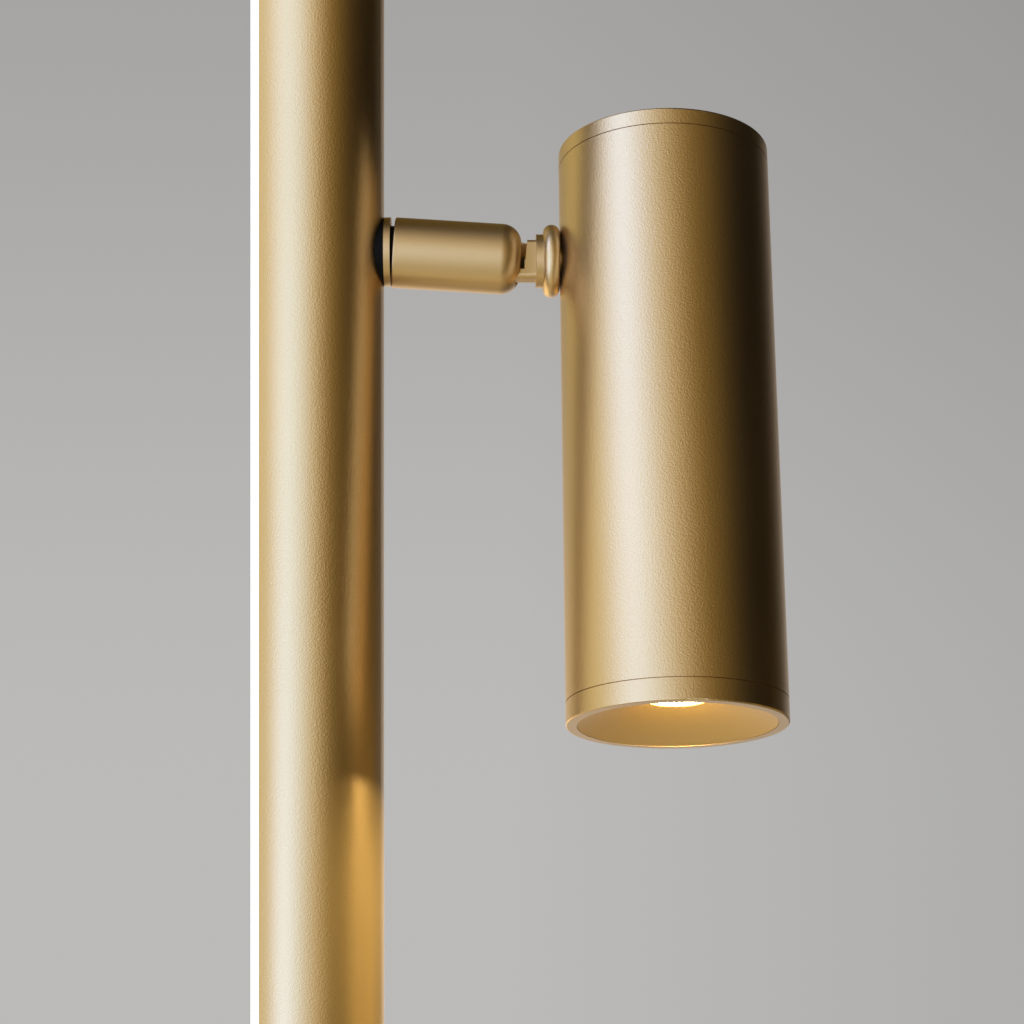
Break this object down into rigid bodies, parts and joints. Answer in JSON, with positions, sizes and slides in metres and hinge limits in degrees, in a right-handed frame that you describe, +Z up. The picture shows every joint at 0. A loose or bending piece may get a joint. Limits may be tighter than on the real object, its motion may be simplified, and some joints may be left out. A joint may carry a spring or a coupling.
{
  "type": "floor lamp",
  "caption": "Floor lamp: round satin-gold pole on a disc base, with a line of light let into one side and a cylindrical spot on a swivelling, tilting arm.",
  "frame": {"origin": "on the floor under the middle of the round base, on the pole's axis", "axes": "+Z up the pole, +X along the arm from the pole to the spot, -X towards the line of light"},
  "size_m": [0.28, 0.28, 1.6],
  "materials": {
    "gold_steel": "satin gold powder coat",
    "gold_aluminium": "satin gold powder coat",
    "gold_brass": "satin gold powder coat",
    "opal_cover": "opal, lit from behind",
    "clear_lens": "frosted lens, lit",
    "black_rubber": "matt black",
    "black_plastic": "matt black",
    "white_plastic": "white",
    "steel": "zinc-plated steel",
    "raw_brass": "turned brass",
    "raw_aluminium": "plain aluminium",
    "phosphor": "yellow phosphor",
    "circuit_white": "white solder mask",
    "grey_wire": "dark grey insulation"
  },
  "bodies": {
    "stand": {"base_plate": "gold_steel", "base_pad": "black_rubber", "base_cover": "steel", "cover_screws": "steel", "cord_gland": "black_plastic", "terminal_block": "white_plastic", "pole_spigot": "steel", "spigot_screws": "steel", "pole_set_screws": "steel", "pole_profile": "gold_aluminium", "pole_cap": "gold_aluminium", "line_diffuser": "opal_cover", "led_tape": "circuit_white", "led_phosphor": "phosphor", "pole_lead": "grey_wire", "tape_lead": "grey_wire", "arm_gasket": "black_rubber", "arm_collar": "gold_brass", "arm_wedge": "black_plastic", "arm_nipple": "raw_brass", "inner_saddle": "steel", "nipple_nut": "steel"},
    "arm": {"knuckle_barrel": "gold_brass", "swivel_bush": "raw_brass", "swivel_washer": "steel", "hinge_pin": "steel", "friction_discs": "white_plastic"},
    "spot": {"knuckle_tongue": "gold_brass", "head_ring": "gold_brass", "head_shell": "gold_aluminium", "head_saddle": "steel", "head_nut": "steel", "head_cap": "gold_aluminium", "head_bezel": "gold_aluminium", "spot_reflector": "gold_aluminium", "spot_lens": "clear_lens", "led_emitter": "phosphor", "led_board": "circuit_white", "board_screws": "steel", "heat_sink": "raw_aluminium", "head_lead": "grey_wire"}
  },
  "joints": [
    {"name": "arm_swivel", "type": "hinge", "parent": "stand", "child": "arm", "pos_m": [0.05056, 0, 1.2507], "axis": [0.9981, 0, -0.061], "range_deg": [-152, 187]},
    {"name": "head_tilt", "type": "hinge", "parent": "arm", "child": "spot", "pos_m": [0.05056, 0, 1.2507], "axis": [-0.0185, 0.9532, -0.3018], "range_deg": [-70, 7]}
  ]
}
